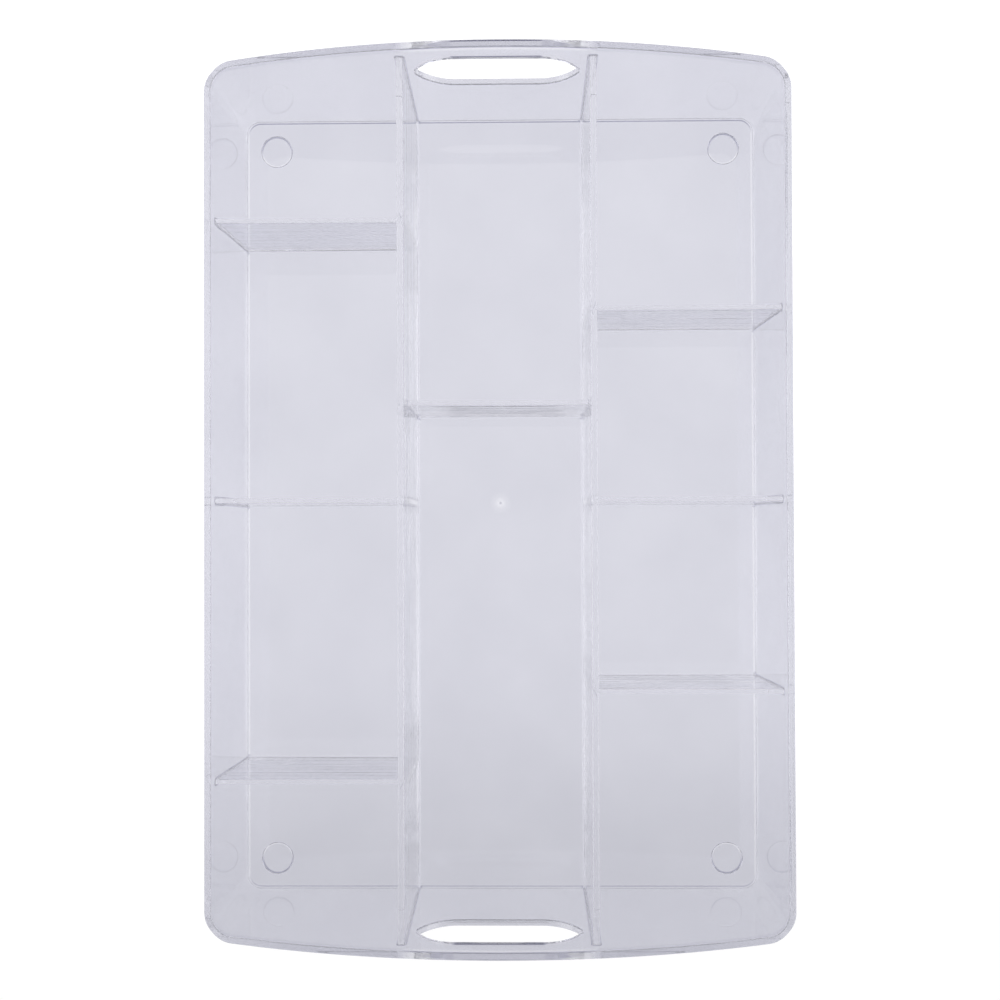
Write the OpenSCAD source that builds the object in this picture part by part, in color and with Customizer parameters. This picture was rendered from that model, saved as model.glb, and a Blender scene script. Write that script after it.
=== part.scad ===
// Clear parts sorting tray: a shallow open tray with ten fixed compartments,
// arched end walls with a hand slot in each, and four low foot pads.
// X is across the tray, Y along it, Z up; the table is z = 0. Millimetres.

/* [Overall] */

// Overall length at the rim, end wall to end wall
tray_length = 381; // [300:1:450]

// Overall width at the rim, side wall to side wall
tray_width = 254; // [200:1:320]

// Height of the end walls at the middle of their arch
end_height = 64; // [55:0.5:80]

// Height of the straight side walls
side_height = 48.5; // [44:0.5:60]

// Radius of the arch along the top of each end wall
arch_radius = 500; // [480:5:900]

/* [Walls and floor] */

// Thickness of the floor panel
floor_thickness = 2.4; // [1.6:0.1:4]

// Wall thickness where it stands on the floor
wall_foot = 2.4; // [1.8:0.1:3.5]

// Outward lean of the inside of the walls, degrees
inner_lean = 3.5; // [2:0.1:8]

// Outward lean of the outside of the walls, degrees
outer_lean = 4.3; // [2:0.1:9]

// Inside corner radius where the walls meet the floor
corner_radius = 6.5; // [4:0.5:15]

/* [Hand slots] */

// Length of each hand slot
slot_length = 72; // [60:1:100]

// Height of each hand slot
slot_height = 19; // [14:0.5:24]

// Length of the straight middle part of each hand slot's edges
slot_straight = 37; // [20:1:50]

// Height of the middle of each hand slot
slot_centre = 45; // [38:0.5:50]

/* [Long dividers] */

// Distance of each long divider from the middle of the tray
long_offset = 40.9; // [30:0.5:60]

// Height of the long dividers
long_height = 57.2; // [50:0.5:60]

// Thickness of a long divider along its top
long_top = 2.8; // [2:0.1:4]

// Thickness of a long divider at the floor
long_foot = 2.95; // [2.8:0.05:6]

/* [Cross dividers] */

// Height of the cross dividers
cross_height = 43.5; // [35:0.5:46]

// Thickness of a cross divider along its top
cross_top = 2.1; // [1.6:0.1:3]

// Thickness of a cross divider at the floor
cross_foot = 2.2; // [2.1:0.05:5]

// Position of the rear and front dividers of the left column
left_step = 122.5; // [90:0.5:140]

// Position of the rear and front dividers of the right column
right_step = 83.5; // [60:0.5:140]

// Position of the single divider of the centre column
centre_step = 42.3; // [-80:0.5:80]

/* [Feet] */

// Diameter of each foot pad
foot_diameter = 15; // [10:0.5:25]

// Height of each foot pad
foot_height = 1.3; // [0.8:0.1:3]

// Foot pad position across the tray
foot_x = 107.6; // [90:0.1:112]

// Foot pad position along the tray
foot_y = 170.2; // [150:0.1:174]

/* [Hidden] */

// Underside and top of the floor panel
floor_under = foot_height;
floor_top = foot_height + floor_thickness;

// Sideways growth for each millimetre of height
inner_rise = tan(inner_lean);
outer_rise = tan(outer_lean);

// Half size of the inside outline where the walls meet the floor
inner_x = tray_width / 2 - wall_foot - (side_height - floor_top) * outer_rise;
inner_y = tray_length / 2 - wall_foot - (end_height - floor_top) * outer_rise;

// Half length of the straight part of each wall, between the corners
straight_x = inner_x - corner_radius;
straight_y = inner_y - corner_radius;

// Corner radius of the floor panel outline
floor_radius = corner_radius + wall_foot;

// Centre height of the arch circle
arch_centre = end_height - arch_radius;

// Facets for the big arch, the corners and slots, and the foot pads
arch_facets = 720;
round_facets = 96;
foot_facets = 72;

clear_tint = [0.86, 0.87, 0.92, 0.35];

// ---- shared shapes -------------------------------------------------------

// Leaning wall section: distance outward from the inside foot line, height
module wall_section(top) {
    polygon([
        [0, floor_top],
        [wall_foot, floor_top],
        [wall_foot + (top - floor_top) * outer_rise, top],
        [(top - floor_top) * inner_rise, top]
    ]);
}

// Everything below the rim line: flat at the sides, arched across the ends
module below_rim() {
    reach = tray_length + 20;
    rotate([90, 0, 0])
        translate([0, arch_centre, -reach / 2])
            cylinder(r = arch_radius, h = reach, $fn = arch_facets);
    translate([-tray_width, -reach / 2, 0])
        cube([2 * tray_width, reach, side_height]);
}

// Straight side wall on the +X side
module side_wall() {
    translate([inner_x, straight_y, 0])
        rotate([90, 0, 0])
            linear_extrude(2 * straight_y)
                wall_section(side_height);
}

// Long curves that run from the straight edges of a hand slot to its tips
slot_end = (slot_length - slot_straight) / 2;
slot_radius = (slot_end * slot_end + slot_height * slot_height / 4)
    / slot_height;
slot_depth = 24;

// One curved edge of a slot end: side picks the end, edge the upper or lower
module slot_curve(side, edge) {
    translate([side * slot_straight / 2,
               edge * (slot_height / 2 - slot_radius), 0])
        cylinder(r = slot_radius, h = slot_depth, $fn = round_facets);
}

// Hand opening through the +Y end wall, drawn out to a tip at each end
module hand_slot() {
    translate([0, inner_y - slot_depth / 3, slot_centre])
        rotate([-90, 0, 0]) {
            translate([-slot_straight / 2, -slot_height / 2, 0])
                cube([slot_straight, slot_height, slot_depth]);
            for (side = [-1, 1])
                intersection() {
                    slot_curve(side, -1);
                    slot_curve(side, 1);
                    translate([side * (slot_straight / 2 + slot_end) - slot_end - 2,
                               -slot_height, -1])
                        cube([2 * slot_end + 4, 2 * slot_height, slot_depth + 2]);
                }
        }
}

// Arched end wall on the +Y side, with its hand slot
module end_wall() {
    difference() {
        intersection() {
            translate([-straight_x, inner_y, 0])
                rotate([90, 0, 90])
                    linear_extrude(2 * straight_x)
                        wall_section(end_height);
            below_rim();
        }
        hand_slot();
    }
}

// Quarter-round corner between the +X side wall and the +Y end wall
module corner() {
    intersection() {
        translate([straight_x, straight_y, 0])
            rotate_extrude(angle = 90, $fn = round_facets)
                translate([corner_radius, 0])
                    wall_section(end_height);
        below_rim();
    }
}

// Length by which a divider's section runs past its shaped ends
overrun = 2;

// Half thickness of a tapered divider at a given height
function half_at(foot, top, height, z) =
    (foot + (top - foot) * (z - floor_top) / (height - floor_top)) / 2;

// Tapered section of a divider, centred on its own line
module divider_section(foot, top, height) {
    polygon([
        [-foot / 2, floor_top],
        [foot / 2, floor_top],
        [top / 2, height],
        [-top / 2, height]
    ]);
}

// Long divider: tapered section, ends lying on the leaning end walls
module long_divider(x) {
    end_top = inner_y + (long_height - floor_top) * inner_rise;
    intersection() {
        translate([x, end_top + overrun, 0])
            rotate([90, 0, 0])
                linear_extrude(2 * (end_top + overrun))
                    divider_section(long_foot, long_top, long_height);
        translate([x - long_foot, 0, 0])
            rotate([90, 0, 90])
                linear_extrude(2 * long_foot)
                    polygon([
                        [-inner_y, floor_top],
                        [inner_y, floor_top],
                        [end_top, long_height],
                        [-end_top, long_height]
                    ]);
    }
}

// Cross divider spanning [x0, x1] at the floor and [x2, x3] along its top
module cross_divider(y, x0, x1, x2, x3) {
    from_x = min(x0, x2) - overrun;
    to_x = max(x1, x3) + overrun;
    intersection() {
        translate([from_x, y, 0])
            rotate([90, 0, 90])
                linear_extrude(to_x - from_x)
                    divider_section(cross_foot, cross_top, cross_height);
        translate([0, y + cross_foot, 0])
            rotate([90, 0, 0])
                linear_extrude(2 * cross_foot)
                    polygon([
                        [x0, floor_top],
                        [x1, floor_top],
                        [x3, cross_height],
                        [x2, cross_height]
                    ]);
    }
}

// Distances from the middle at which the cross dividers end
wall_end_foot = inner_x;
wall_end_top = inner_x + (cross_height - floor_top) * inner_rise;
long_near_foot = long_offset - long_foot / 2;
long_near_top = long_offset
    - half_at(long_foot, long_top, long_height, cross_height);
long_far_foot = long_offset + long_foot / 2;
long_far_top = long_offset
    + half_at(long_foot, long_top, long_height, cross_height);

// Cross divider of an outer column: side is -1 for left, 1 for right
module outer_cross_divider(side, y) {
    mirror([side < 0 ? 1 : 0, 0, 0])
        cross_divider(y, long_far_foot, wall_end_foot,
                      long_far_top, wall_end_top);
}

// Round foot pad under one corner
module foot_pad(side_x, side_y) {
    translate([side_x * foot_x, side_y * foot_y, 0])
        cylinder(d = foot_diameter, h = foot_height, $fn = foot_facets);
}

// ---- nodes ---------------------------------------------------------------

// Flat bottom panel with rounded corners
module floor_panel() {
    color(clear_tint)
        translate([0, 0, floor_under])
            linear_extrude(floor_thickness) {
                for (sx = [-1, 1], sy = [-1, 1])
                    translate([sx * straight_x, sy * straight_y])
                        circle(r = floor_radius, $fn = round_facets);
                square([2 * straight_x, 2 * (straight_y + floor_radius)],
                       center = true);
                square([2 * (straight_x + floor_radius), 2 * straight_y],
                       center = true);
            }
}

module right_side_wall() {
    color(clear_tint)
        side_wall();
}

module left_side_wall() {
    color(clear_tint)
        mirror([1, 0, 0])
            side_wall();
}

module rear_end_wall() {
    color(clear_tint)
        end_wall();
}

module front_end_wall() {
    color(clear_tint)
        mirror([0, 1, 0])
            end_wall();
}

module corner_rear_right() {
    color(clear_tint)
        corner();
}

module corner_rear_left() {
    color(clear_tint)
        mirror([1, 0, 0])
            corner();
}

module corner_front_right() {
    color(clear_tint)
        mirror([0, 1, 0])
            corner();
}

module corner_front_left() {
    color(clear_tint)
        mirror([0, 1, 0])
            mirror([1, 0, 0])
                corner();
}

module left_long_divider() {
    color(clear_tint)
        long_divider(-long_offset);
}

module right_long_divider() {
    color(clear_tint)
        long_divider(long_offset);
}

module left_cross_divider_rear() {
    color(clear_tint)
        outer_cross_divider(-1, left_step);
}

module left_cross_divider_middle() {
    color(clear_tint)
        outer_cross_divider(-1, 0);
}

module left_cross_divider_front() {
    color(clear_tint)
        outer_cross_divider(-1, -left_step);
}

module centre_cross_divider() {
    color(clear_tint)
        cross_divider(centre_step, -long_near_foot, long_near_foot,
                      -long_near_top, long_near_top);
}

module right_cross_divider_rear() {
    color(clear_tint)
        outer_cross_divider(1, right_step);
}

module right_cross_divider_middle() {
    color(clear_tint)
        outer_cross_divider(1, 0);
}

module right_cross_divider_front() {
    color(clear_tint)
        outer_cross_divider(1, -right_step);
}

module foot_rear_left() {
    color(clear_tint)
        foot_pad(-1, 1);
}

module foot_rear_right() {
    color(clear_tint)
        foot_pad(1, 1);
}

module foot_front_left() {
    color(clear_tint)
        foot_pad(-1, -1);
}

module foot_front_right() {
    color(clear_tint)
        foot_pad(1, -1);
}

floor_panel();
left_side_wall();
right_side_wall();
rear_end_wall();
front_end_wall();
corner_rear_left();
corner_rear_right();
corner_front_left();
corner_front_right();
left_long_divider();
right_long_divider();
left_cross_divider_rear();
left_cross_divider_middle();
left_cross_divider_front();
centre_cross_divider();
right_cross_divider_rear();
right_cross_divider_middle();
right_cross_divider_front();
foot_rear_left();
foot_rear_right();
foot_front_left();
foot_front_right();
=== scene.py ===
"""Clear parts sorting tray: the looks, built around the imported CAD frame.

Metres, in the CAD's own frame: X across the tray, Y along it, Z up, table at z = 0.
The real tray is one clear moulding. Every piece here is a closed mesh of its own, and the
faces where two pieces meet carry the "bond" material, which lets light straight through,
so the pieces refract together as one moulding.
"""

import math

import bmesh
import bpy
from mathutils import Matrix, Vector


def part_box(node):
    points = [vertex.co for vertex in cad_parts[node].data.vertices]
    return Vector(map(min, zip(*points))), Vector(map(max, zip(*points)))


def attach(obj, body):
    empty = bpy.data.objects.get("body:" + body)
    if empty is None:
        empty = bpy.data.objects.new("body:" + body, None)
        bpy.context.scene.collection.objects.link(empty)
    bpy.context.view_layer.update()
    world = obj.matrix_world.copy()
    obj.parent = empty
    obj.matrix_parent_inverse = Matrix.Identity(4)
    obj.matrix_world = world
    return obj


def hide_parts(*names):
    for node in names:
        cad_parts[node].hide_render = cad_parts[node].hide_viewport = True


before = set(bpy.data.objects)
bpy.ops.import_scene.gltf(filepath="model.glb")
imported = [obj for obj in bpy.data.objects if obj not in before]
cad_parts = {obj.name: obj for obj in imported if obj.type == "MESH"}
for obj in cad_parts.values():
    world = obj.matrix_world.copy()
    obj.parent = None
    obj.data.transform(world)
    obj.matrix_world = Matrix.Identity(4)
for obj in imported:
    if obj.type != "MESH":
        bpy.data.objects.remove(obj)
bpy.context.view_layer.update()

MM = 0.001
CLEAR = 0
BOND = 1
SHARP_ANGLE = 38  # degrees; steeper folds are shaded as edges
FLAT_WEIGHT = 90  # how far large flat faces rule the shading at their borders

# ---- sizes, all read from the CAD frame --------------------------------------------------


def node_points(node):
    """Every corner point of a CAD node."""
    return [vertex.co.copy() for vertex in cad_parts[node].data.vertices]


def top_points(node):
    """The corner points along the top of a CAD node."""
    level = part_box(node)[1].z - 0.02 * MM
    return [point for point in node_points(node) if point.z > level]


floor_low, floor_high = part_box("floor_panel")
side_low, side_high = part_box("right_side_wall")
end_low, end_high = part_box("rear_end_wall")

UNDER = floor_low.z
FLOOR = floor_high.z
FOOT_X = side_low.x
FOOT_Y = end_low.y
STRAIGHT_X = end_high.x
STRAIGHT_Y = side_high.y
CORNER = FOOT_X - STRAIGHT_X
WALL = floor_high.x - FOOT_X
SIDE_TOP = side_high.z
END_TOP = end_high.z
RIM_IN = min(point.x for point in top_points("right_side_wall"))
INNER_SLOPE = (RIM_IN - FOOT_X) / (SIDE_TOP - FLOOR)
OUTER_SLOPE = (side_high.x - FOOT_X - WALL) / (SIDE_TOP - FLOOR)

shoulder = max(
    point.z for point in node_points("rear_end_wall") if point.x > STRAIGHT_X - 0.02 * MM
)
arch_rise = END_TOP - shoulder
ARCH_RADIUS = (STRAIGHT_X**2 + arch_rise**2) / (2 * arch_rise)

slot_points = [
    point
    for point in node_points("rear_end_wall")
    if abs(point.x) < 0.6 * STRAIGHT_X and FLOOR + 5 * MM < point.z < END_TOP - 6 * MM
]
SLOT_HALF = max(point.x for point in slot_points)
SLOT_LOW = min(point.z for point in slot_points)
SLOT_HIGH = max(point.z for point in slot_points)
SLOT_FLAT = max(point.x for point in slot_points if point.z > SLOT_HIGH - 0.02 * MM)

# Edge roundings of the moulding
WALL_ROOT = 1.0 * MM  # where the walls meet the floor
BASE_ROUND = 0.5 * MM  # lower edge all round
RIM_ROUND = 0.5 * MM  # both edges of the rim
SLOT_ROUND = 0.6 * MM  # both edges of a hand slot
SLOT_TIP = 1.5 * MM  # the tip at each end of a hand slot
DIVIDER_ROOT = 1.25 * MM  # where the dividers meet the floor
DIVIDER_ROUND = 0.5 * MM  # both edges of a divider's top
DIVIDER_END = 0.9 * MM  # where a divider meets a wall or a long divider
FOOT_ROUND = 0.5 * MM  # lower edge of a foot pad

# Painted light and shade, as powers on the plastic's tint: 1 leaves the tint plain, below 1 paints
# a highlight, above 1 paints shade
SIDE_FOOT_HIGHLIGHT = 0.5  # painted highlight along the foot of the side walls
REAR_FOOT_SHADE = 3.1  # painted shade along the foot of the rear wall
FRONT_FOOT_SHADE = 2.2  # painted shade along the foot of the front wall
ARCH_RIM_SHADE = 1.55  # painted shade on the arched rims beside the hand slots
INNER_RIM_HIGHLIGHT = 0.9  # faint painted highlight on the inner edge of the rims beside the hand slots
SLOT_RIM_HIGHLIGHT = 0.2  # painted highlight on the arched rims over the hand slots
RIM_EDGE_SHADE = 2.2  # painted shade on the inner edge of the rims over the hand slots
SLOT_EDGE_SHADE = 6.0  # painted shade on the upper edges of a hand slot
SLOT_FACE_HIGHLIGHT = 0.45  # painted highlight on the face between them
FOOT_NEAR_HIGHLIGHT = 0.2  # painted highlight on the edge of a foot pad, towards the middle of the tray
FOOT_FAR_SHADE = 3.2  # painted shade on the edge of a foot pad, towards the end of the tray
RIB_SIDE_HIGHLIGHT = 0.3  # painted highlight on the flat sides of the dividers
GATE_WELL_HIGHLIGHT = 0.35  # painted highlight on the well of the gate mark
GATE_NUB_SHADE = 1.3  # painted shade on the middle of the gate mark
RIM_FADE = 3.0 * MM  # how far down from a rim its painted light and shade reach
SLOT_FADE = 6 * MM  # how far beside a hand slot the painted light and shade over it reach

# ---- plain geometry helpers ---------------------------------------------------------------


def mix(first, second, share):
    """The value that share of the way from the first to the second, never past either."""
    return first + (second - first) * min(max(share, 0), 1)


def arc(centre, radius, start, end, steps):
    """Points on an arc from one angle to another, in degrees, both ends included."""
    found = []
    for index in range(steps + 1):
        angle = math.radians(start + (end - start) * index / steps)
        across = centre[0] + radius * math.cos(angle)
        up = centre[1] + radius * math.sin(angle)
        found.append((across, up))
    return found


def tangent(radius, corner_angle):
    """How far from a corner a rounding of that radius touches its two faces."""
    return radius / math.tan(math.radians(corner_angle / 2))


def new_ring(mesh, points):
    return [mesh.verts.new(point) for point in points]


def skin(mesh, one, other, index=CLEAR):
    """A closed band of faces between two rings of the same length."""
    count = len(one)
    for start in range(count):
        stop = (start + 1) % count
        face = mesh.faces.new((one[start], one[stop], other[stop], other[start]))
        face.material_index = index


def sweep(mesh, rings, skipped=()):
    """Closed sides through rings in turn, whose last strip is bonded, as are the two ends."""
    count = len(rings[0])
    for one, other in zip(rings, rings[1:]):
        for start in range(count):
            if start in skipped:
                continue
            stop = (start + 1) % count
            face = mesh.faces.new((one[start], one[stop], other[stop], other[start]))
            face.material_index = BOND if stop == 0 else CLEAR
    cap(mesh, rings[0])
    cap(mesh, rings[-1])


def cap(mesh, ring, index=BOND):
    face = mesh.faces.new(ring)
    face.material_index = index


def ring_edges(mesh, ring):
    return [mesh.edges.get((ring[i - 1], ring[i])) for i in range(len(ring))]


def fill(mesh, edges, index=CLEAR):
    """Flat faces inside an outline, leaving its holes open."""
    made = bmesh.ops.triangle_fill(mesh, use_beauty=True, use_dissolve=False, edges=edges)
    for face in made["geom"]:
        if isinstance(face, bmesh.types.BMFace):
            face.material_index = index


def cut(mesh, wanted, point, normal):
    """Splits the wanted faces along a plane."""
    faces = [face for face in mesh.faces if wanted(face)]
    edges = {edge for face in faces for edge in face.edges}
    verts = {vert for face in faces for vert in face.verts}
    bmesh.ops.bisect_plane(
        mesh,
        geom=[*faces, *edges, *verts],
        dist=1e-7,
        plane_co=point,
        plane_no=normal,
    )


def make_piece(name, mesh, nodes, mirror=(1, 1), depth=None):
    """Finishes a closed piece: mirrored into place, shaded, in clear plastic, on the frame.

    depth gives the painted light and shade at a point of the piece, as a power on the tint: below 1
    a painted highlight, above 1 painted shade; without it, 1 all over.
    The flat sides of the dividers are also marked as lined.
    """
    for vert in mesh.verts:
        vert.co.x *= mirror[0]
        vert.co.y *= mirror[1]
    bmesh.ops.recalc_face_normals(mesh, faces=mesh.faces)
    if mesh.calc_volume(signed=True) < 0:
        bmesh.ops.reverse_faces(mesh, faces=mesh.faces)
    data = bpy.data.meshes.new(name)
    mesh.to_mesh(data)
    mesh.free()
    data.materials.append(plastic)
    data.materials.append(bond)
    data.shade_smooth()
    data.set_sharp_from_angle(angle=math.radians(SHARP_ANGLE))
    # the depth attribute carries the painted light and shade; lined marks the dividers' flat sides
    # for their bump lines
    data.attributes.new("depth", "FLOAT", "POINT")
    data.attributes.new("lined", "FLOAT", "POINT")
    for index, vert in enumerate(data.vertices):
        painted_light_exponent = depth(vert.co) if depth else 1.0
        data.attributes["depth"].data[index].value = painted_light_exponent
        data.attributes["lined"].data[index].value = float(painted_light_exponent == RIB_SIDE_HIGHLIGHT)
    piece = bpy.data.objects.new(name, data)
    bpy.context.scene.collection.objects.link(piece)
    weighted = piece.modifiers.new("flat faces stay flat", "WEIGHTED_NORMAL")
    weighted.keep_sharp = True
    weighted.weight = FLAT_WEIGHT
    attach(piece, "root")
    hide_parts(*nodes)
    return piece


# ---- materials ----------------------------------------------------------------------------

PALE_TINT = (0.610, 0.611, 0.678, 1)
DEEP_TINT = (0.580, 0.581, 0.648, 1)
HAZE = 0.02  # roughness where the plastic is haziest
FLOW_HEIGHT = 0.008 * MM
LINE_HEIGHT = 0.11 * MM
LINE_SCALE = (6, 6, 220)  # long along the tray, fine in height
TABLE_LIGHT = 1.21
TABLE_FRONT_DIM = 0.165  # the share of the table's light lost at the front
HORIZON_LIGHT = 0.80


class Nodes:
    """A short way to write a node tree."""

    def __init__(self, tree):
        self.tree = tree
        tree.nodes.clear()

    def add(self, kind, **values):
        node = self.tree.nodes.new(kind)
        for key, value in values.items():
            setattr(node, key, value)
        return node

    def link(self, source, target):
        self.tree.links.new(source, target)

    def math(self, operation, first, second=None):
        node = self.add("ShaderNodeMath", operation=operation)
        for socket, value in zip(node.inputs, (first, second)):
            if value is None:
                continue
            if isinstance(value, (int, float)):
                socket.default_value = value
            else:
                self.link(value, socket)
        return node.outputs[0]

    def noise(self, place, scale, detail):
        node = self.add("ShaderNodeTexNoise")
        node.inputs["Scale"].default_value = scale
        node.inputs["Detail"].default_value = detail
        self.link(place, node.inputs["Vector"])
        return node.outputs["Fac"]

    def attribute(self, name):
        """A value stored on the mesh."""
        return self.add("ShaderNodeAttribute", attribute_name=name).outputs["Fac"]

    def ramp(self, value, start, stop, low, high):
        """A smooth change from low to high as value goes from start to stop."""
        node = self.add("ShaderNodeMapRange", interpolation_type="SMOOTHSTEP")
        for name, number in (
            ("From Min", start),
            ("From Max", stop),
            ("To Min", low),
            ("To Max", high),
        ):
            node.inputs[name].default_value = number
        self.link(value, node.inputs["Value"])
        return node.outputs["Result"]


def new_material(name):
    material = bpy.data.materials.new(name)
    material.use_nodes = True
    return material, Nodes(material.node_tree)


def make_bond():
    """Where two pieces of the moulding are one: light goes straight through."""
    material, nodes = new_material("bond")
    clear = nodes.add("ShaderNodeBsdfTransparent")
    output = nodes.add("ShaderNodeOutputMaterial")
    nodes.link(clear.outputs[0], output.inputs["Surface"])
    return material


def make_plastic():
    """Clear moulded polystyrene: faint blue-grey tint with painted highlights and painted shade,
    flow marks and light handling wear.
    """
    material, nodes = new_material("clear_polystyrene")
    place = nodes.add("ShaderNodeTexCoord").outputs["Object"]
    shader = nodes.add("ShaderNodeBsdfPrincipled")
    output = nodes.add("ShaderNodeOutputMaterial")
    nodes.link(shader.outputs[0], output.inputs["Surface"])
    shader.inputs["Transmission Weight"].default_value = 1.0
    shader.inputs["IOR"].default_value = 1.59
    nodes.link(plastic_colour(nodes, place), shader.inputs["Base Color"])
    haze = nodes.noise(place, 60, 4)
    nodes.link(nodes.math("MULTIPLY", haze, HAZE), shader.inputs["Roughness"])
    nodes.link(plastic_relief(nodes, place), shader.inputs["Normal"])
    return material


def plastic_colour(nodes, place):
    """A cloudy tint, with painted shade where the mesh's depth is above 1 and a painted highlight
    where it is below 1.
    """
    tint = nodes.add("ShaderNodeValToRGB")
    for stop, position, colour in zip(tint.color_ramp.elements, (0.3, 0.7), (DEEP_TINT, PALE_TINT)):
        stop.position = position
        stop.color = colour
    nodes.link(nodes.noise(place, 22, 3), tint.inputs["Fac"])
    painted_light_tint = nodes.add("ShaderNodeGamma")
    nodes.link(tint.outputs["Color"], painted_light_tint.inputs["Color"])
    # the depth attribute paints light and shade onto the tint, as a power
    nodes.link(nodes.attribute("depth"), painted_light_tint.inputs["Gamma"])
    return painted_light_tint.outputs["Color"]


def plastic_relief(nodes, place):
    """Faint flow marks all over, and fine level lines on the lined sides of the dividers."""
    flow = nodes.add("ShaderNodeBump")
    flow.inputs["Strength"].default_value = 0.1
    flow.inputs["Distance"].default_value = FLOW_HEIGHT
    nodes.link(nodes.noise(place, 45, 2), flow.inputs["Height"])

    squash = nodes.add("ShaderNodeVectorMath", operation="MULTIPLY")
    squash.inputs[1].default_value = LINE_SCALE
    nodes.link(place, squash.inputs[0])
    lines = nodes.add("ShaderNodeBump")
    lines.inputs["Distance"].default_value = LINE_HEIGHT
    nodes.link(nodes.ramp(nodes.attribute("lined"), 0.55, 1.0, 0.0, 1.0), lines.inputs["Strength"])
    nodes.link(nodes.noise(squash.outputs[0], 1, 2), lines.inputs["Height"])
    nodes.link(flow.outputs["Normal"], lines.inputs["Normal"])
    return lines.outputs["Normal"]


def make_table():
    """A pale table top lit from within: a little dimmer to the front, greyer far away."""
    material, nodes = new_material("table")
    place = nodes.add("ShaderNodeTexCoord").outputs["Object"]
    split = nodes.add("ShaderNodeSeparateXYZ")
    nodes.link(place, split.inputs[0])
    length = nodes.add("ShaderNodeVectorMath", operation="LENGTH")
    nodes.link(place, length.inputs[0])
    front = nodes.ramp(split.outputs["Y"], -0.20, -0.06, TABLE_FRONT_DIM, 0.0)
    close = nodes.ramp(length.outputs["Value"], 0.5, 1.6, 1.0, 0.0)
    dimmed = nodes.math("SUBTRACT", 1.0, nodes.math("MULTIPLY", front, close))
    away = nodes.ramp(length.outputs["Value"], 0.38, 1.6, TABLE_LIGHT, HORIZON_LIGHT)
    shader = nodes.add("ShaderNodeEmission")
    nodes.link(nodes.math("MULTIPLY", dimmed, away), shader.inputs["Strength"])
    output = nodes.add("ShaderNodeOutputMaterial")
    nodes.link(shader.outputs[0], output.inputs["Surface"])
    return material


plastic = make_plastic()
bond = make_bond()

# ---- floor --------------------------------------------------------------------------------

CORNER_STEPS = 32

# Gate mark under the middle of the floor: radius and rise of each ring, in mm
GATE_PROFILE = (
    (6.2, 0.0),
    (5.9, 0.02),
    (5.4, 0.05),
    (3.0, 0.08),
    (1.6, 0.12),
    (1.15, 0.05),
    (0.95, -0.12),
    (0.8, -0.2),
    (0.45, -0.22),
)
# Blank ring marks under the floor: x, y, radius, half width and height, in mm
RING_MARKS = ((32, 73.5, 3.7, 0.45, 0.10), (61, 118, 13.9, 0.6, 0.05))


def outline(offset, level):
    """The floor's rounded outline, that far outside the inner foot line."""
    found = []
    for quarter, (side_x, side_y) in enumerate(((1, 1), (-1, 1), (-1, -1), (1, -1))):
        for step in range(CORNER_STEPS + 1):
            angle = math.radians(90 * quarter + 90 * step / CORNER_STEPS)
            radius = CORNER + offset
            x = side_x * STRAIGHT_X + radius * math.cos(angle)
            y = side_y * STRAIGHT_Y + radius * math.sin(angle)
            found.append((x, y, level))
    return found


def circle(centre, radius, level, steps):
    """Points round a level circle."""
    found = []
    for step in range(steps):
        angle = 2 * math.pi * step / steps
        x = centre[0] + radius * math.cos(angle)
        y = centre[1] + radius * math.sin(angle)
        found.append((x, y, level))
    return found


def floor_piece():
    """Floor panel with rounded lower edge, gate mark, blank ring marks and seats for the feet."""
    mesh = bmesh.new()
    root = tangent(WALL_ROOT, 90 + math.degrees(math.atan(INNER_SLOPE)))
    lean = math.degrees(math.atan(OUTER_SLOPE))
    inside = new_ring(mesh, outline(-root, FLOOR))
    cap(mesh, inside, CLEAR)
    edge = new_ring(mesh, outline(WALL, FLOOR))
    skin(mesh, inside, edge, BOND)
    low = WALL - (FLOOR - UNDER) * OUTER_SLOPE
    reach = tangent(BASE_ROUND, 90 + lean)
    for offset, level in arc((low - reach, UNDER + BASE_ROUND), BASE_ROUND, -lean, -90, 7):
        lower = new_ring(mesh, outline(offset, level))
        skin(mesh, edge, lower)
        edge = lower
    open_edges = ring_edges(mesh, edge)

    for foot in FEET:
        centre, radius = foot_place(foot)
        seat = new_ring(mesh, circle(centre, radius, UNDER, FOOT_STEPS))
        cap(mesh, seat)
        open_edges += ring_edges(mesh, seat)

    open_edges += gate_mark(mesh)
    for x, y, radius, width, height in RING_MARKS:
        open_edges += ring_mark(mesh, (x * MM, y * MM), radius * MM, width * MM, height * MM)
    fill(mesh, open_edges)

    def on_top(face):
        return face.material_index == CLEAR and face.calc_center_median().z > FLOOR - 1e-6

    for divider in LONG:
        for side in (-1, 1):
            x = divider.centre + side * divider.foot
            cut(mesh, on_top, (x, 0, 0), (1, 0, 0))
    for divider in CROSS:
        for side in (-1, 1):
            y = divider.centre + side * divider.foot

            def in_column(face):
                x = face.calc_center_median().x
                return on_top(face) and divider.start(FLOOR) < x < divider.stop(FLOOR)

            cut(mesh, in_column, (0, y, 0), (0, 1, 0))
    for face in mesh.faces:
        middle = face.calc_center_median()
        if on_top(face) and any(divider.covers(middle) for divider in (*LONG, *CROSS)):
            face.material_index = BOND
    return make_piece("moulded_floor", mesh, ["floor_panel"], depth=gate_painted_light)


def gate_painted_light(point):
    """Painted light and shade on the gate mark: a painted highlight over its well, fading out to
    the floor round it, and painted shade in its middle.
    """
    reach = math.hypot(point.x, point.y) / MM
    if reach < 0.6:
        return GATE_NUB_SHADE
    return min(GATE_WELL_HIGHLIGHT + 0.2 * (reach - 0.8), 1)


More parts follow.
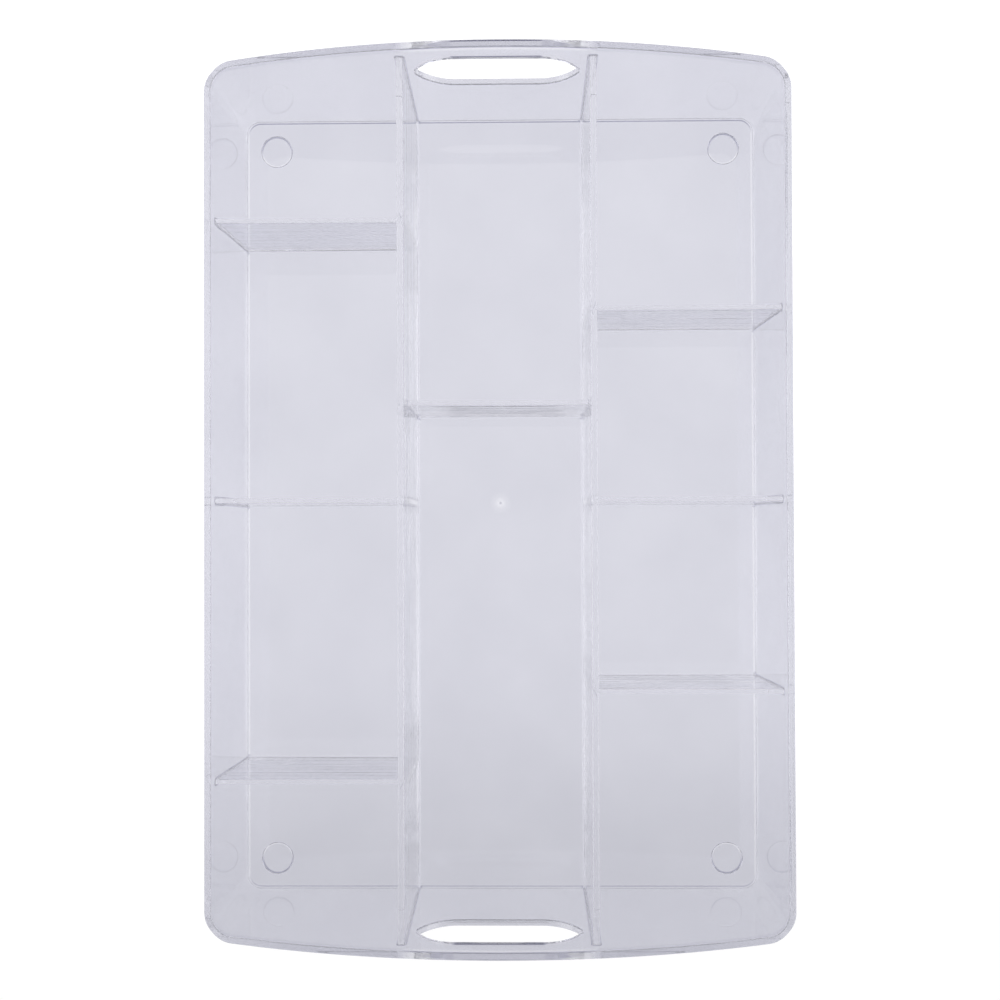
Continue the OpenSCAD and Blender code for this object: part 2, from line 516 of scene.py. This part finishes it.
def gate_mark(mesh):
    """Gate vestige under the middle of the floor: a nub in a shallow dished well."""
    rings = []
    for radius, rise in GATE_PROFILE:
        rings.append(new_ring(mesh, circle((0, 0), radius * MM, UNDER + rise * MM, 40)))
    for outer, inner in zip(rings, rings[1:]):
        skin(mesh, outer, inner)
    cap(mesh, rings[-1], CLEAR)
    return ring_edges(mesh, rings[0])


def ring_mark(mesh, centre, radius, width, height):
    """A faint blank ring standing under the floor, where the real tray has a moulded mark."""
    rings = []
    for across, drop in ((1, 0), (0.55, 0.75), (0, 1), (-0.55, 0.75), (-1, 0)):
        points = circle(centre, radius + across * width, UNDER - drop * height, 72)
        rings.append(new_ring(mesh, points))
    for one, other in zip(rings, rings[1:]):
        skin(mesh, one, other)
    cap(mesh, rings[-1], CLEAR)
    return ring_edges(mesh, rings[0])


# ---- feet ---------------------------------------------------------------------------------

FEET = ("foot_rear_left", "foot_rear_right", "foot_front_left", "foot_front_right")
FOOT_STEPS = 64


def foot_place(node):
    """Middle and radius of a foot pad."""
    low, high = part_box(node)
    return ((low.x + high.x) / 2, (low.y + high.y) / 2), (high.y - low.y) / 2


def foot_piece(node):
    """Low round pad with a softened lower edge and a slightly dished face."""
    mesh = bmesh.new()
    centre, radius = foot_place(node)
    above = new_ring(mesh, circle(centre, radius, UNDER, FOOT_STEPS))
    cap(mesh, above)
    profile = arc((radius - FOOT_ROUND, FOOT_ROUND), FOOT_ROUND, 0, -90, 6)
    profile.append((radius - 1.8 * FOOT_ROUND, 0))
    profile.append((radius - 2.2 * MM, 0.03 * MM))
    profile.append((radius - 3.2 * MM, 0.12 * MM))
    for reach, level in profile:
        ring = new_ring(mesh, circle(centre, reach, level, FOOT_STEPS))
        skin(mesh, above, ring)
        above = ring
    cap(mesh, above, CLEAR)

    def depth(point):
        """Painted highlight round the side nearer the middle of the tray, painted shade round the
        far side.
        """
        reach = Vector((point.x - centre[0], point.y - centre[1]))
        if reach.length < radius - 1.1 * FOOT_ROUND:
            return 1.0
        outward = reach.y * math.copysign(1, centre[1]) / reach.length
        return mix(FOOT_NEAR_HIGHLIGHT, FOOT_FAR_SHADE, 0.5 + 1.2 * outward)

    return make_piece(node.replace("foot", "moulded_foot"), mesh, [node], depth=depth)


# ---- walls --------------------------------------------------------------------------------

ROOT_STEPS = 7
RIM_STEPS = 6
END_STEPS = 60

# Where the flat inner and outer faces start in the points of wall_section
INNER_FACE = ROOT_STEPS
OUTER_FACE = ROOT_STEPS + 2 * RIM_STEPS + 5


def rim_height(x):
    """Height of the rim line: flat along the sides, arched across the ends."""
    arch = END_TOP - ARCH_RADIUS + math.sqrt(ARCH_RADIUS**2 - x**2)
    return max(SIDE_TOP, arch)


def inner_face(level):
    """How far outward from the inner foot line the inner face is at that height."""
    return (level - FLOOR) * INNER_SLOPE


def outer_face(level):
    """How far outward from the inner foot line the outer face is at that height."""
    return WALL + (level - FLOOR) * OUTER_SLOPE


def outward_from(point):
    """The way outward at a point, measured from the middle of the nearest corner's curve."""
    return Vector((max(abs(point.x) - STRAIGHT_X, 0), max(abs(point.y) - STRAIGHT_Y, 0)))


def foot_painted_light(share, y):
    """Painted light along a wall's foot: a painted highlight along the sides and painted shade
    along the ends.
    """
    return mix(SIDE_FOOT_HIGHLIGHT, REAR_FOOT_SHADE if y > 0 else FRONT_FOOT_SHADE, share)


def wall_painted_light(point):
    """Painted light and shade on a wall: along its foot, at its slot edges and on its arched rims.
    """
    outward = outward_from(point)
    share = outward.y / outward.length
    if outward.length < CORNER and point.z < FLOOR + 0.12 * WALL_ROOT:
        return foot_painted_light(share, point.y)
    above_slot = (point.z - SLOT_HIGH) / SLOT_ROUND
    if abs(point.x) < SLOT_FLAT + 0.1 * MM and -0.2 < above_slot < 0.9:
        return SLOT_EDGE_SHADE if above_slot > 0.1 else SLOT_FACE_HIGHLIGHT
    behind = outward.length - CORNER - inner_face(point.z)
    below = rim_height(point.x) - point.z
    aside = (abs(point.x) - SLOT_HALF) / SLOT_FADE
    if behind < 0.6 * RIM_ROUND and below < 1.5 * RIM_ROUND:
        rim = mix(RIM_EDGE_SHADE, INNER_RIM_HIGHLIGHT, aside)
    else:
        rim = mix(SLOT_RIM_HIGHLIGHT, ARCH_RIM_SHADE, aside)
    return mix(1, mix(1, rim, 1.2 - 1.2 * below / RIM_FADE), share)


def wall_section(origin, outward):
    """Wall outline at one place: distance outward from the inner foot line, and height."""
    inner_lean = math.degrees(math.atan(INNER_SLOPE))
    outer_lean = math.degrees(math.atan(OUTER_SLOPE))
    tops = []
    for face in (inner_face, outer_face):
        level = rim_height(origin[0])
        for _ in range(4):
            level = rim_height(origin[0] + outward[0] * face(level))
        tops.append((face(level), level))
    root = tangent(WALL_ROOT, 90 + inner_lean)
    inner = tangent(RIM_ROUND, 90 + inner_lean)
    outer = tangent(RIM_ROUND, 90 - outer_lean)
    section = arc((-root, FLOOR + WALL_ROOT), WALL_ROOT, -90, -inner_lean, ROOT_STEPS)
    for drop in (RIM_FADE, 2 * RIM_ROUND):
        section.append((inner_face(tops[0][1] - drop), tops[0][1] - drop))
    centre = (tops[0][0] + inner, tops[0][1] - RIM_ROUND)
    section += arc(centre, RIM_ROUND, 180 - inner_lean, 90, RIM_STEPS)
    centre = (tops[1][0] - outer, tops[1][1] - RIM_ROUND)
    section += arc(centre, RIM_ROUND, 90, -outer_lean, RIM_STEPS)
    section.append((outer_face(tops[1][1] - RIM_FADE), tops[1][1] - RIM_FADE))
    section.append((WALL, FLOOR))
    return section


def wall_mesh(stations, with_slot=False):
    """A wall swept through its stations, each a foot-line point and the way outward."""
    mesh = bmesh.new()
    rings = []
    for origin, outward in stations:
        points = []
        for reach, level in wall_section(origin, outward):
            x = origin[0] + outward[0] * reach
            y = origin[1] + outward[1] * reach
            points.append((x, y, level))
        rings.append(new_ring(mesh, points))
    sweep(mesh, rings, (INNER_FACE, OUTER_FACE) if with_slot else ())
    if with_slot:
        loops = hand_slot(mesh)
        for strip, loop in zip((INNER_FACE, OUTER_FACE), loops):
            edges = ring_edges(mesh, loop)
            for level in (strip, strip + 1):
                line = [ring[level] for ring in rings]
                edges += [mesh.edges.get(pair) for pair in zip(line, line[1:])]
            for ring in (rings[0], rings[-1]):
                edges.append(mesh.edges.get((ring[strip], ring[strip + 1])))
            fill(mesh, edges)
    return mesh


def slot_outline(grow):
    """Points round the hand slot, that far outside it: straight edges, long curves, small tips."""
    half = (SLOT_HIGH - SLOT_LOW) / 2
    centre = (SLOT_HIGH + SLOT_LOW) / 2
    end = SLOT_HALF - SLOT_FLAT
    radius = (end**2 + half**2) / (2 * half)
    drop = radius - half
    turn = math.degrees(math.asin(drop / (radius - SLOT_TIP)))
    tip = SLOT_FLAT + math.sqrt((radius - SLOT_TIP) ** 2 - drop**2)
    right = arc((SLOT_FLAT, centre + drop), radius + grow, -90, -turn, 14)
    right += arc((tip, centre), SLOT_TIP + grow, -turn, turn, 8)[1:-1]
    right += arc((SLOT_FLAT, centre - drop), radius + grow, turn, 90, 14)
    left = [(-x, 2 * centre - z) for x, z in right]
    return right + left


def hand_slot(mesh):
    """The hand slot's tunnel with rounded edges; gives its inner and outer loops."""

    def loop(grow, depth, from_outside):
        points = []
        for x, z in slot_outline(grow):
            y = FOOT_Y + (outer_face(z) - depth if from_outside else inner_face(z) + depth)
            points.append((x, y, z))
        return new_ring(mesh, points)

    loops = []
    for from_outside in (False, True):
        side_loops = []
        for angle in range(0, 91, 15):
            turn = math.radians(angle)
            grow = SLOT_ROUND * (1 - math.sin(turn))
            depth = SLOT_ROUND * (1 - math.cos(turn))
            side_loops.append(loop(grow, depth, from_outside))
        loops += side_loops if not from_outside else side_loops[::-1]
    for one, other in zip(loops, loops[1:]):
        skin(mesh, one, other)
    return loops[0], loops[-1]


def imprint(mesh, axis, divider, end_offset):
    """Bonds the wall faces that a divider's end lies on.

    axis is the way across the divider, and end_offset is where the wall's inner foot line is.
    """
    other = 1 - axis

    def near(face):
        middle = face.calc_center_median()
        if middle[other] > end_offset + inner_face(middle.z) + 0.1 * MM:
            return False
        values = [vert.co[axis] for vert in face.verts]
        reach = divider.foot + 2 * MM
        return min(values) < divider.centre + reach and max(values) > divider.centre - reach

    def inside(face):
        middle = face.calc_center_median()
        return near(face) and divider.within(middle)

    for side in (-1, 1):
        point = Vector((0, 0, FLOOR))
        point[axis] = divider.centre + side * (divider.half(FLOOR) + 0.5 * DIVIDER_END)
        normal = Vector((0, 0, divider.draft))
        normal[axis] = side
        cut(mesh, near, point, normal)
    level = Vector((0, 0, divider.top + 0.3 * DIVIDER_END))
    cut(mesh, inside, level, (0, 0, 1))
    for face in mesh.faces:
        if face.material_index == CLEAR and inside(face):
            if face.calc_center_median().z < level.z:
                face.material_index = BOND


def side_wall_piece(name, node, side, dividers):
    stations = [((FOOT_X, y), (1, 0)) for y in (-STRAIGHT_Y, STRAIGHT_Y)]
    mesh = wall_mesh(stations)
    for divider in dividers:
        imprint(mesh, 1, divider, FOOT_X)
    return make_piece(name, mesh, [node], (side, 1), wall_painted_light)


def end_wall_piece(name, node, side):
    stations = []
    for step in range(END_STEPS + 1):
        x = STRAIGHT_X * (1 - 2 * step / END_STEPS)
        stations.append(((x, FOOT_Y), (0, 1)))
    mesh = wall_mesh(stations, with_slot=True)
    for divider in LONG:
        imprint(mesh, 0, divider, FOOT_Y)
    return make_piece(name, mesh, [node], (1, side), wall_painted_light)


def corner_piece(name, node, mirror):
    stations = []
    for step in range(CORNER_STEPS + 1):
        angle = math.radians(90 * step / CORNER_STEPS)
        outward = (math.cos(angle), math.sin(angle))
        x = STRAIGHT_X + CORNER * outward[0]
        y = STRAIGHT_Y + CORNER * outward[1]
        stations.append(((x, y), outward))
    return make_piece(name, wall_mesh(stations), [node], mirror, wall_painted_light)


# ---- dividers -----------------------------------------------------------------------------

FLARE_STEPS = 5


class Divider:
    """The sizes of one divider, from its CAD node.

    axis is the way across it, 0 or 1, and start and stop give where its ends are at a height.
    """

    def __init__(self, node, axis, start, stop):
        low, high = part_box(node)
        self.node = node
        self.axis = axis
        self.start = start
        self.stop = stop
        self.top = high.z
        self.centre = (low[axis] + high[axis]) / 2
        self.base = (high[axis] - low[axis]) / 2
        self.crest = max(abs(point[axis] - self.centre) for point in top_points(node))
        self.draft = (self.base - self.crest) / (self.top - FLOOR)
        self.foot = self.base + DIVIDER_ROOT

    def half(self, level):
        """Half thickness of the flat part of its sides at that height."""
        return self.base - self.draft * (level - FLOOR)

    def within(self, point):
        """Inside its section, with a share of the flare at its ends."""
        reach = self.half(point.z) + 0.5 * DIVIDER_END
        return abs(point[self.axis] - self.centre) < reach

    def depth(self, point):
        """Painted highlight on its flat sides; none on its rounded edges and flared ends."""
        across = abs(point[self.axis] - self.centre)
        flat = FLOOR + 0.8 * DIVIDER_ROOT < point.z < self.top - 0.7 * DIVIDER_ROUND
        if flat and abs(across - self.half(point.z)) < 0.01 * MM:
            return RIB_SIDE_HIGHLIGHT
        return 1.0

    def covers(self, point):
        """Whether a point of the floor is under it."""
        along = point[1 - self.axis]
        if not self.start(FLOOR) - MM < along < self.stop(FLOOR) + MM:
            return False
        return abs(point[self.axis] - self.centre) < self.foot

    def section(self):
        """Its outline: across, height, and the way it grows where it flares at an end."""
        lean = math.degrees(math.atan(self.draft))
        root = tangent(DIVIDER_ROOT, 90 + lean)
        centre = (self.base + root, FLOOR + DIVIDER_ROOT)
        right = []
        for across, up in arc(centre, DIVIDER_ROOT, 270, 180 + lean, 6):
            right.append((across, up, 1, 0))
        round_top = tangent(DIVIDER_ROUND, 90 + lean)
        centre = (self.crest - round_top, self.top - DIVIDER_ROUND)
        for across, up in arc(centre, DIVIDER_ROUND, lean, 90, 6):
            grow_across = (across - centre[0]) / DIVIDER_ROUND
            grow_up = (up - centre[1]) / DIVIDER_ROUND
            right.append((across, up, grow_across, grow_up))
        left = [(-across, up, -gx, gz) for across, up, gx, gz in reversed(right)]
        return right + left


def divider_mesh(divider):
    """Tapered rib with a root radius, a rounded top and flared ends."""
    mesh = bmesh.new()
    stations = []
    for step in range(FLARE_STEPS + 1):
        turn = math.pi / 2 * step / FLARE_STEPS
        back = DIVIDER_END * (1 - math.cos(turn))
        grow = DIVIDER_END * (1 - math.sin(turn))
        stations.append((back, grow))
    rings = []
    for end, sign in ((divider.start, 1), (divider.stop, -1)):
        for back, grow in stations[::sign]:
            points = []
            for across, up, grow_across, grow_up in divider.section():
                level = up + grow * grow_up
                point = Vector((0, 0, level))
                point[divider.axis] = divider.centre + across + grow * grow_across
                point[1 - divider.axis] = end(level) + sign * back
                points.append(point)
            rings.append(new_ring(mesh, points))
    sweep(mesh, rings)
    return mesh


def imprint_side(mesh, divider, other, side):
    """Bonds the part of a long divider's side that a cross divider's end lies on."""

    def near(face):
        if face.material_index != CLEAR:
            return False
        middle = face.calc_center_median()
        if (middle.x - divider.centre) * side < 0.5 * divider.crest:
            return False
        values = [vert.co.y for vert in face.verts]
        reach = other.foot + 2 * MM
        return min(values) < other.centre + reach and max(values) > other.centre - reach

    def inside(face):
        return near(face) and other.within(face.calc_center_median())

    for edge in (-1, 1):
        y = other.centre + edge * (other.half(FLOOR) + 0.5 * DIVIDER_END)
        cut(mesh, near, (0, y, FLOOR), (0, edge, other.draft))
    level = other.top + 0.3 * DIVIDER_END
    cut(mesh, inside, (0, 0, level), (0, 0, 1))
    for face in mesh.faces:
        if inside(face) and face.calc_center_median().z < level:
            face.material_index = BOND


def long_divider_piece(divider):
    """A long divider, bonded where the cross dividers end on its sides."""
    mesh = divider_mesh(divider)
    for other in CROSS:
        low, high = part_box(other.node)
        if abs(low.x - divider.centre) < divider.foot + MM:
            imprint_side(mesh, divider, other, 1)
        if abs(high.x - divider.centre) < divider.foot + MM:
            imprint_side(mesh, divider, other, -1)
    return make_piece("moulded_" + divider.node, mesh, [divider.node], depth=divider.depth)


def cross_divider_piece(divider):
    mesh = divider_mesh(divider)
    return make_piece("moulded_" + divider.node, mesh, [divider.node], depth=divider.depth)


def side_of(divider, side):
    """Where the face of a long divider on that side is, for a height."""
    return lambda level: divider.centre + side * divider.half(level)


def wall_at(foot_line, side):
    """Where the inner face of a wall on that side is, for a height."""
    return lambda level: side * (foot_line + inner_face(level))


LEFT_LONG, RIGHT_LONG = LONG = [
    Divider(side + "_long_divider", 0, wall_at(FOOT_Y, -1), wall_at(FOOT_Y, 1))
    for side in ("left", "right")
]
LEFT_CROSS = [
    Divider("left_cross_divider_" + where, 1, wall_at(FOOT_X, -1), side_of(LEFT_LONG, -1))
    for where in ("rear", "middle", "front")
]
RIGHT_CROSS = [
    Divider("right_cross_divider_" + where, 1, side_of(RIGHT_LONG, 1), wall_at(FOOT_X, 1))
    for where in ("rear", "middle", "front")
]
CENTRE_CROSS = Divider(
    "centre_cross_divider", 1, side_of(LEFT_LONG, 1), side_of(RIGHT_LONG, -1)
)
CROSS = (*LEFT_CROSS, CENTRE_CROSS, *RIGHT_CROSS)

# ---- the tray -----------------------------------------------------------------------------

floor_piece()
for foot in FEET:
    foot_piece(foot)
side_wall_piece("moulded_side_wall_left", "left_side_wall", -1, LEFT_CROSS)
side_wall_piece("moulded_side_wall_right", "right_side_wall", 1, RIGHT_CROSS)
end_wall_piece("moulded_end_wall_rear", "rear_end_wall", 1)
end_wall_piece("moulded_end_wall_front", "front_end_wall", -1)
for where, side_y in (("rear", 1), ("front", -1)):
    for side, side_x in (("left", -1), ("right", 1)):
        node = f"corner_{where}_{side}"
        corner_piece("moulded_" + node, node, (side_x, side_y))
for divider in LONG:
    long_divider_piece(divider)
for divider in CROSS:
    cross_divider_piece(divider)

# ---- table, light and camera ----------------------------------------------------------------

TABLE_HALF = 40.0
TABLE_LEVEL = -0.1 * MM
BOX_LIGHT = 1.4
END_LIGHT = 0.55
CEILING_LIGHT = (0.15, 0.75)  # at the front and at the rear
CAMERA_PLACE = (0.01068, -0.01475, 0.44023)
CAMERA_TURNS = (("Z", -0.0035), ("X", 0.0084), ("Y", 0.0101))
CAMERA_SENSOR = 36.0
CAMERA_FOCAL = 0.9120  # focal length over sensor width
CAMERA_SHIFT = (-0.01374, 0.02595)
SHEET_BOUNCES = 96  # light crosses many faces of the clear tray


def make_stage():
    """A wide table top just under the feet."""
    data = bpy.data.meshes.new("table_top")
    corners = []
    for x, y in ((-1, -1), (1, -1), (1, 1), (-1, 1)):
        corners.append((x * TABLE_HALF, y * TABLE_HALF, TABLE_LEVEL))
    data.from_pydata(corners, [], [(0, 1, 2, 3)])
    data.materials.append(make_table())
    table = bpy.data.objects.new("table_top", data)
    bpy.context.scene.collection.objects.link(table)


def make_world():
    """A pale room: a soft box to each side, dimmer ends, and a ceiling darker to the front."""
    world = bpy.data.worlds.new("soft_studio")
    world.use_nodes = True
    bpy.context.scene.world = world
    nodes = Nodes(world.node_tree)
    direction = nodes.add("ShaderNodeTexCoord").outputs["Generated"]
    split = nodes.add("ShaderNodeSeparateXYZ")
    nodes.link(direction, split.inputs[0])
    across = nodes.math("ABSOLUTE", split.outputs["X"])
    side = nodes.ramp(across, 0.45, 0.75, 0.0, 1.0)
    raised = nodes.ramp(split.outputs["Z"], 0.12, 0.35, 0.0, 1.0)
    boxes = nodes.math("MULTIPLY", nodes.math("MULTIPLY", side, raised), BOX_LIGHT)
    ends = nodes.ramp(split.outputs["Z"], 0.0, 0.45, HORIZON_LIGHT, END_LIGHT)
    around = nodes.math("ADD", ends, boxes)
    ceiling = nodes.ramp(split.outputs["Y"], -0.42, 0.45, *CEILING_LIGHT)
    steep = nodes.ramp(split.outputs["Z"], 0.80, 0.92, 0.0, 1.0)
    level = nodes.add("ShaderNodeMix", data_type="FLOAT")
    nodes.link(steep, level.inputs[0])
    nodes.link(around, level.inputs[2])
    nodes.link(ceiling, level.inputs[3])
    back = nodes.add("ShaderNodeBackground")
    back.inputs["Color"].default_value = (1, 1, 1, 1)
    nodes.link(level.outputs[0], back.inputs["Strength"])
    output = nodes.add("ShaderNodeOutputWorld")
    nodes.link(back.outputs[0], output.inputs["Surface"])


def make_camera():
    """The photo's view, from straight above and a little to the front right."""
    data = bpy.data.cameras.new("camera")
    data.sensor_width = CAMERA_SENSOR
    data.lens = CAMERA_SENSOR * CAMERA_FOCAL
    data.shift_x, data.shift_y = CAMERA_SHIFT
    data.clip_start = 0.01
    data.clip_end = 200.0
    camera = bpy.data.objects.new("camera", data)
    turn = Matrix.Identity(4)
    for axis, angle in CAMERA_TURNS:
        turn = turn @ Matrix.Rotation(angle, 4, axis)
    camera.matrix_world = Matrix.Translation(CAMERA_PLACE) @ turn
    bpy.context.scene.collection.objects.link(camera)
    bpy.context.scene.camera = camera


make_stage()
make_world()
make_camera()

scene = bpy.context.scene
scene.view_settings.view_transform = "Standard"
scene.cycles.max_bounces = SHEET_BOUNCES
scene.cycles.transmission_bounces = SHEET_BOUNCES
scene.cycles.glossy_bounces = SHEET_BOUNCES
scene.cycles.diffuse_bounces = 4
scene.cycles.transparent_max_bounces = 64
